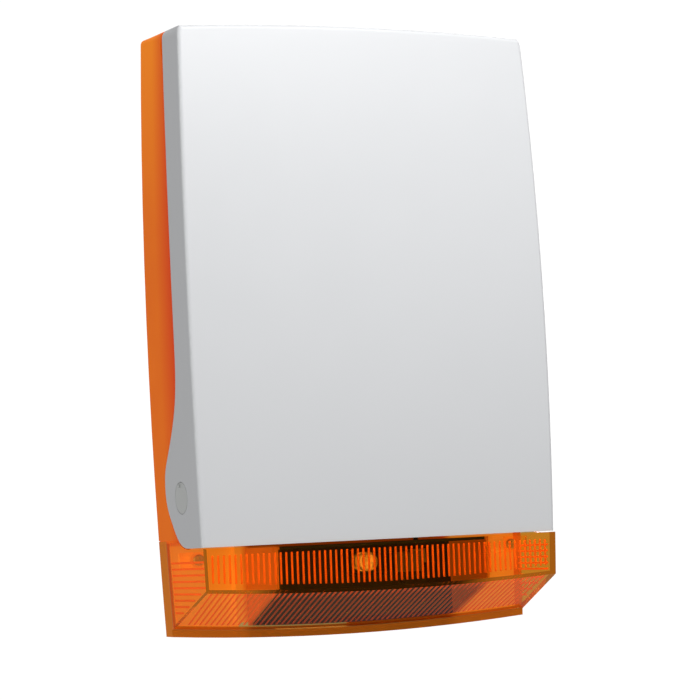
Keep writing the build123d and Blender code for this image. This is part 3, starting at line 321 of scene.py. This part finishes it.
def circuit_green():
    """Green solder mask over a faint grid of copper tracks."""
    material = new_material("circuit_green", 0.28, Coat_Weight=0.4, Coat_Roughness=0.15)
    place, _ = position(material)
    tracks = add_node(material, "ShaderNodeTexBrick", Scale=160.0, Mortar_Size=0.035)
    turned = add_node(material, "ShaderNodeMapping")
    turned.inputs["Rotation"].default_value = (math.pi / 2, 0, 0)
    link(material, place, turned.inputs["Vector"])
    link(material, turned.outputs["Vector"], tracks.inputs["Vector"])
    tracks.inputs["Color1"].default_value = (0.006, 0.085, 0.028, 1)
    tracks.inputs["Color2"].default_value = (0.008, 0.10, 0.035, 1)
    tracks.inputs["Mortar"].default_value = (0.03, 0.22, 0.07, 1)
    link(material, tracks.outputs["Color"], shader_of(material).inputs["Base Color"])
    add_bump(material, tracks.outputs["Fac"], 0.00004, 0.4)
    return material


def clear(name, colour, roughness=0.02, ior=1.47):
    material = new_material(name, roughness, ior=ior, Transmission_Weight=1.0)
    place, _ = position(material)
    cloud = noise(material, place, 200.0)
    pale = tuple(min(1.0, c * 1.04) for c in colour)
    link(material, mix_colours(material, cloud, colour, pale), shader_of(material).inputs["Base Color"])
    return material


materials = {
    "white_shell": white_shell(),
    "orange_housing": orange_housing(),
    "orange_lens": orange_lens("orange_lens"),
    "orange_rib": orange_rib(),
    "galvanised_sheet": galvanised(),
    "board_green": circuit_green(),
    "zinc_steel": metal("zinc_steel", (0.62, 0.62, 0.60), 0.28),
    "brass_metal": metal("brass_metal", (0.70, 0.52, 0.22), 0.3),
    "heat_sink_metal": metal("heat_sink_metal", (0.10, 0.10, 0.11), 0.42),
    "speaker_metal": moulded("speaker_metal", (0.03, 0.03, 0.034), 0.34),
    "battery_case": moulded("battery_case", (0.035, 0.036, 0.04), 0.5, 0.1, 1500.0),
    "red_plastic": moulded("red_plastic", (0.50, 0.012, 0.008), 0.3),
    "black_plastic": moulded("black_plastic", (0.010, 0.010, 0.011), 0.42, 0.15),
    "pale_plastic": moulded("pale_plastic", (0.66, 0.63, 0.55), 0.4),
    "terminal_green": moulded("terminal_green", (0.014, 0.20, 0.05), 0.4),
    "relay_case": moulded("relay_case", (0.012, 0.05, 0.22), 0.25),
    "capacitor_sleeve": moulded("capacitor_sleeve", (0.012, 0.014, 0.05), 0.22),
    "grey_rubber": moulded("grey_rubber", (0.03, 0.03, 0.031), 0.7),
    "red_wire": moulded("red_wire", (0.42, 0.008, 0.006), 0.42),
    "black_wire": moulded("black_wire", (0.012, 0.012, 0.013), 0.42),
    "clear_glass": clear("clear_glass", (0.96, 0.96, 0.95)),
    "level_liquid": clear("level_liquid", (0.55, 0.95, 0.10), 0.03, 1.4),
}

cap_white = moulded("cap_white", (0.70, 0.715, 0.70), 0.4, 0.03, 2600.0, 0.00002)
own_materials = {
    "flash_housing": lamp_box(),
    "flash_board": moulded("board_black", (0.012, 0.016, 0.013), 0.3, 0.2),
    "lamp": lamp_glass(),
    "lamp_bracket": metal("bracket_metal", (0.20, 0.19, 0.18), 0.32),
    "lens_screws": metal("screw_bright", (0.92, 0.91, 0.90), 0.5),
    "screw_cap_left": cap_white,
    "screw_cap_right": cap_white,
}

for subpart in frame["record"]["subparts"]:
    piece = nodes[subpart["node"]]
    piece.data.materials.clear()
    material = own_materials.get(subpart["node"], materials[subpart["material_slot"]])
    piece.data.materials.append(material)


# ---------------------------------------------------------------- the casing's curves, as the CAD has them
HALF_WIDTH = 99.9 * MM
TOP_HALF_WIDTH = 96.8 * MM
BOTTOM_HALF_WIDTH = 96.2 * MM
TOP_Z = 151.2 * MM
BOTTOM_Z = -150.0 * MM
BOTTOM_BOW = 4.0 * MM
DRAFT = math.tan(math.radians(4.8))
FRONT_DEPTH = 58.3 * MM
FRONT_DEPTH_Z = -29.0 * MM
FRONT_RADIUS = 2555.0 * MM
FRONT_CROWN = 2.0 * MM
FRONT_CROWN_X = 95.0 * MM
WALL = 2.5 * MM
LENS_PROUD = 1.4 * MM
LENS_EDGE_Y = -58.0 * MM
LENS_EDGE_Z = -131.7 * MM
SLOPE_ANGLE = math.radians(21.0)
SLOPE = math.tan(SLOPE_ANGLE)


def side_circle():
    """Centre and radius of the arc that each long side follows on the wall plane."""
    x1, z1, x2, z2, x3, z3 = BOTTOM_HALF_WIDTH, BOTTOM_Z, HALF_WIDTH, 0.0, TOP_HALF_WIDTH, TOP_Z
    spread = 2 * (x1 * (z2 - z3) + x2 * (z3 - z1) + x3 * (z1 - z2))
    a, b, c = x1 * x1 + z1 * z1, x2 * x2 + z2 * z2, x3 * x3 + z3 * z3
    centre_x = (a * (z2 - z3) + b * (z3 - z1) + c * (z1 - z2)) / spread
    centre_z = (a * (x3 - x2) + b * (x1 - x3) + c * (x2 - x1)) / spread
    return centre_x, centre_z, math.hypot(x1 - centre_x, z1 - centre_z)


SIDE_X, SIDE_Z, SIDE_R = side_circle()


def half_width(y, z, inset):
    """Distance of the casing's side from the middle plane."""
    height = max(z, BOTTOM_Z)
    return SIDE_X + math.sqrt(SIDE_R ** 2 - (height - SIDE_Z) ** 2) - inset + DRAFT * y


def lens_front(x, z, inset):
    """Y of the lens's front face."""
    fall = (z - FRONT_DEPTH_Z) ** 2 / (2 * FRONT_RADIUS)
    return -(FRONT_DEPTH - inset + LENS_PROUD - fall - FRONT_CROWN * (x / FRONT_CROWN_X) ** 2)


def bow(x):
    return BOTTOM_BOW * (x / BOTTOM_HALF_WIDTH) ** 2


def lens_slope(x, y, inset):
    """Z of the lens's sloping underside."""
    return LENS_EDGE_Z + bow(x) - (y - LENS_EDGE_Y) * SLOPE + inset / math.cos(SLOPE_ANGLE)


# ---------------------------------------------------------------- mesh helpers
def mesh_object(name, mesh, material, body="housing", smooth=True):
    data = bpy.data.meshes.new(name)
    mesh.to_mesh(data)
    mesh.free()
    for polygon in data.polygons:
        polygon.use_smooth = smooth
    piece = bpy.data.objects.new(name, data)
    bpy.context.collection.objects.link(piece)
    data.materials.append(material)
    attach(piece, body)
    return piece


def bridge_rings(mesh, rings):
    """A closed tube over rings of vertices."""
    sides = len(rings[0])
    for first, second in zip(rings, rings[1:]):
        for k in range(sides):
            mesh.faces.new((first[k], first[(k + 1) % sides], second[(k + 1) % sides], second[k]))
    mesh.faces.new(list(reversed(rings[0])))
    mesh.faces.new(rings[-1])


RIB_ARC_STEPS = 6
RIB_END_HEIGHT = 0.35


def add_rib(mesh, points, across, inward, width, height):
    """A rounded bar along points, its flat side on the wall and its round side inwards."""
    rings = []
    last = len(points) - 1
    for index, point in enumerate(points):
        scale = RIB_END_HEIGHT if index in (0, last) else 1.0
        ring = []
        for step in range(RIB_ARC_STEPS + 1):
            angle = math.pi * step / RIB_ARC_STEPS
            offset = across * (math.cos(angle) * width / 2) + inward * (math.sin(angle) * height * scale)
            ring.append(mesh.verts.new(point + offset))
        rings.append(ring)
    bridge_rings(mesh, rings)


# ---------------------------------------------------------------- ribs inside the lens
RIBS_EACH_SIDE = 31
RIB_PITCH = 2.84 * MM
RIB_WIDTH = 1.0 * MM
RIB_HEIGHT = 1.0 * MM
SLOPE_RIB_HEIGHT = 0.5 * MM
SKIN = WALL + 0.03 * MM
RIB_TOP_Z = -111.2 * MM
END_TAPER = 1.2 * MM
FRONT_RIB_GAP = 1.3 * MM
SLOPE_RIB_GAP = 2.2 * MM
SLOPE_RIB_BACK_Y = -11.5 * MM
SIDE_RIBS = 11
SIDE_RIB_PITCH = 3.04 * MM
SIDE_RIB_TOP_Z = -114.0 * MM
SIDE_RIB_Y = (-51.5 * MM, -10.5 * MM)
SIDE_RIB_GAP = 4.2 * MM
SIDE_X_NEAR = 90 * MM
SHORTEST_RIB = 4 * MM


def tapered(start, end):
    """Points from start to end, with one close to each end so that the ends can round off."""
    taper = (end - start).normalized() * END_TAPER
    return [start, start + taper, end - taper, end]


def lens_ribs():
    """Ribs down the lens's front and back along its slope, then ribs along its two sides."""
    mesh = bmesh.new()
    sideways = Vector((1, 0, 0))
    slope_normal = Vector((0, SLOPE, 1)).normalized()
    for index in range(-RIBS_EACH_SIDE, RIBS_EACH_SIDE + 1):
        x = index * RIB_PITCH
        low_z = lens_slope(x, LENS_EDGE_Y, SKIN) + FRONT_RIB_GAP
        low_y = lens_front(x, low_z, SKIN)
        front = tapered(Vector((x, lens_front(x, RIB_TOP_Z, SKIN), RIB_TOP_Z)), Vector((x, low_y, low_z)))
        add_rib(mesh, front, sideways, Vector((0, 1, 0)), RIB_WIDTH, RIB_HEIGHT)
        slope_y = (low_y + SLOPE_RIB_GAP, SLOPE_RIB_BACK_Y)
        slope_ends = [Vector((x, y, lens_slope(x, y, SKIN))) for y in slope_y]
        add_rib(mesh, tapered(*slope_ends), sideways, slope_normal, RIB_WIDTH, SLOPE_RIB_HEIGHT)
    for side in (-1, 1):
        for index in range(SIDE_RIBS):
            z = SIDE_RIB_TOP_Z - index * SIDE_RIB_PITCH
            # low ribs are shorter, since the slope cuts across their front ends
            meet_y = LENS_EDGE_Y + (LENS_EDGE_Z + bow(SIDE_X_NEAR) + SIDE_RIB_GAP - z) / SLOPE
            front_y, back_y = max(SIDE_RIB_Y[0], meet_y), SIDE_RIB_Y[1]
            if back_y - front_y < SHORTEST_RIB:
                continue
            ends = [Vector((side * half_width(y, z, SKIN), y, z)) for y in (front_y, back_y)]
            add_rib(mesh, tapered(*ends), Vector((0, 0, side)), Vector((-side, 0, 0)), RIB_WIDTH, RIB_HEIGHT)
    bmesh.ops.recalc_face_normals(mesh, faces=mesh.faces[:])
    return mesh_object("lens_ribs", mesh, materials["orange_rib"])


lens_ribs()


# ---------------------------------------------------------------- tongue in the seam between tray and lens
SEAM_Z = -102.85 * MM
TONGUE_REACH = 1.3 * MM
TONGUE_DEPTH = 0.35 * MM
TONGUE_THICKNESS = 0.9 * MM
TONGUE_Y = (-24.0 * MM, -0.4 * MM)
TONGUE_STEPS = 8


def seam_tongues():
    """A thin tongue inside each side wall.  It is a guess, and keeps light from showing through the seam."""
    mesh = bmesh.new()
    inner = TONGUE_DEPTH + TONGUE_THICKNESS
    corners = ((TONGUE_DEPTH, -TONGUE_REACH), (TONGUE_DEPTH, TONGUE_REACH),
               (inner, TONGUE_REACH), (inner, -TONGUE_REACH))
    for side in (-1, 1):
        rings = []
        for step in range(TONGUE_STEPS + 1):
            y = TONGUE_Y[0] + (TONGUE_Y[1] - TONGUE_Y[0]) * step / TONGUE_STEPS
            ring = []
            for inset, rise in corners:
                z = SEAM_Z + rise
                ring.append(mesh.verts.new((side * half_width(y, z, inset), y, z)))
            rings.append(ring)
        bridge_rings(mesh, rings)
    bmesh.ops.recalc_face_normals(mesh, faces=mesh.faces[:])
    return mesh_object("seam_tongues", mesh, materials["orange_housing"], smooth=False)


seam_tongues()


# ---------------------------------------------------------------- evenly shaded skins of the big shells
WELD_DISTANCE = 0.000002
SHARP_ANGLE = math.radians(28)


def shaded_skin(node, body):
    """The CAD shell's own surface, with normals weighted by area, so that its long faces shade evenly."""
    source = nodes[node]
    data = source.data.copy()
    skin = bpy.data.objects.new(node + "_skin", data)
    bpy.context.collection.objects.link(skin)
    skin.matrix_world = source.matrix_world.copy()
    mesh = bmesh.new()
    mesh.from_mesh(data)
    bmesh.ops.remove_doubles(mesh, verts=mesh.verts[:], dist=WELD_DISTANCE)
    mesh.to_mesh(data)
    mesh.free()
    if data.attributes.get("custom_normal"):
        data.attributes.remove(data.attributes["custom_normal"])
    data.shade_smooth()
    data.set_sharp_from_angle(angle=SHARP_ANGLE)
    weighted = skin.modifiers.new("weighted", "WEIGHTED_NORMAL")
    weighted.mode = "FACE_AREA"
    weighted.keep_sharp = True
    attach(skin, body)
    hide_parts(node)


shaded_skin("front_cover", "front_cover")
shaded_skin("base_tray", "housing")


# ---------------------------------------------------------------- stage, camera and lights
SOFT_BOX_W = 6.7
LEFT_FILL_W = 2.1
BACK_FILL_W = 6.0
STUDIO_LIGHT = 0.285
BACKDROP_WHITE = 1.05
FLOOR_Z = -1.2
FLOOR_HALF_SIZE = 8
PAPER_GLOW = 0.9

# The camera, as fitted to the photograph's outline.
CAMERA_AZIMUTH = math.radians(-21.76)
CAMERA_ELEVATION = math.radians(-5.63)
CAMERA_ROLL = math.radians(-2.89)
CAMERA_TARGET = (0, -0.030, 0)
CAMERA_DISTANCE = 1.1146
CAMERA_LENS = 113.4
CAMERA_SENSOR = 36.0
CAMERA_SHIFT = (-0.0057, -0.0326)


def paper_floor():
    floor_mesh = bmesh.new()
    bmesh.ops.create_grid(floor_mesh, x_segments=1, y_segments=1, size=FLOOR_HALF_SIZE)
    data = bpy.data.meshes.new("floor")
    floor_mesh.to_mesh(data)
    floor_mesh.free()
    floor = bpy.data.objects.new("floor", data)
    floor.location = (0, 0, FLOOR_Z)
    bpy.context.collection.objects.link(floor)
    paper = moulded("floor_paper", (0.80, 0.80, 0.80), 0.9, 0.01)
    shader_of(paper).inputs["Emission Color"].default_value = (1, 1, 1, 1)
    shader_of(paper).inputs["Emission Strength"].default_value = PAPER_GLOW
    data.materials.append(paper)
    # the lit paper is only a background: it throws no light of its own on the siren
    floor.visible_diffuse = False
    floor.visible_glossy = False
    floor.visible_transmission = False


def photo_camera():
    level = math.cos(CAMERA_ELEVATION)
    back = Vector((math.sin(CAMERA_AZIMUTH) * level, -math.cos(CAMERA_AZIMUTH) * level,
                   math.sin(CAMERA_ELEVATION)))
    right = Vector((math.cos(CAMERA_AZIMUTH), math.sin(CAMERA_AZIMUTH), 0))
    up = back.cross(right)
    rolled_right = right * math.cos(CAMERA_ROLL) + up * math.sin(CAMERA_ROLL)
    rolled_up = up * math.cos(CAMERA_ROLL) - right * math.sin(CAMERA_ROLL)
    camera_data = bpy.data.cameras.new("camera")
    camera_data.lens = CAMERA_LENS
    camera_data.sensor_width = CAMERA_SENSOR
    camera_data.shift_x, camera_data.shift_y = CAMERA_SHIFT
    camera = bpy.data.objects.new("camera", camera_data)
    axes = Matrix((rolled_right, rolled_up, back)).transposed().to_4x4()
    camera.matrix_world = Matrix.Translation(Vector(CAMERA_TARGET) + back * CAMERA_DISTANCE) @ axes
    bpy.context.collection.objects.link(camera)
    bpy.context.scene.camera = camera


def area_light(name, place, aim, size, power):
    """A white rectangular light at place, turned towards aim."""
    data = bpy.data.lights.new(name, "AREA")
    data.shape = "RECTANGLE"
    data.size, data.size_y = size
    data.energy = power
    light = bpy.data.objects.new(name, data)
    light.location = place
    light.rotation_euler = (Vector(aim) - Vector(place)).to_track_quat("-Z", "Y").to_euler()
    bpy.context.collection.objects.link(light)


def studio():
    """A white studio: an even light, a soft box above and in front, and fills from the left and from behind.
    The white backdrop is shown to the camera only, and the siren gets the dimmer even light."""
    world = bpy.data.worlds.new("studio")
    bpy.context.scene.world = world
    world.use_nodes = True
    tree = world.node_tree
    light = tree.nodes["Background"]
    light.inputs["Color"].default_value = (1, 1, 1, 1)
    light.inputs["Strength"].default_value = STUDIO_LIGHT
    seen = tree.nodes.new("ShaderNodeBackground")
    seen.inputs["Color"].default_value = (1, 1, 1, 1)
    seen.inputs["Strength"].default_value = BACKDROP_WHITE
    path = tree.nodes.new("ShaderNodeLightPath")
    mixer = tree.nodes.new("ShaderNodeMixShader")
    tree.links.new(path.outputs["Is Camera Ray"], mixer.inputs["Fac"])
    tree.links.new(light.outputs[0], mixer.inputs[1])
    tree.links.new(seen.outputs[0], mixer.inputs[2])
    tree.links.new(mixer.outputs[0], tree.nodes["World Output"].inputs["Surface"])
    area_light("soft_box", (0.1, -0.68, 0.62), (0, -0.05, 0.0), (0.5, 0.35), SOFT_BOX_W)
    area_light("left_fill", (-1.0, -0.35, -0.1), (-0.05, -0.03, 0.0), (0.4, 0.8), LEFT_FILL_W)
    area_light("back_fill", (0.7, 1.0, 0.5), (0, 0, 0.0), (0.8, 0.8), BACK_FILL_W)


paper_floor()
photo_camera()
studio()
bpy.context.scene.view_settings.view_transform = "Standard"
